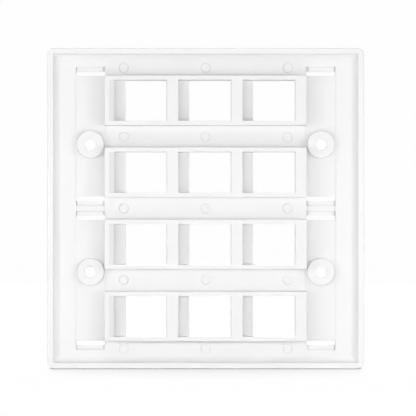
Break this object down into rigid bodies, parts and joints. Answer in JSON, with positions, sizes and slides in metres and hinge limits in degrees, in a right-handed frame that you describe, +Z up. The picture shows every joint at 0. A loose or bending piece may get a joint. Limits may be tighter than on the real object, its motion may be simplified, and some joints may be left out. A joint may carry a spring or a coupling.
{
  "type": "keystone faceplate",
  "caption": "White two-gang wall plate with rows of keystone jack ports, label recesses and countersunk screw bosses, moulded in one piece.",
  "frame": {"origin": "centre of the four screw holes, in the wall plane that the rim and the bosses lie in", "axes": "+X along the rows of ports, +Y out of the wall towards the room, +Z up along the columns"},
  "size_m": [0.1142, 0.01, 0.1158],
  "materials": {
    "white_plastic": "satin"
  },
  "bodies": {
    "root": {"faceplate": "white_plastic"}
  },
  "joints": []
}
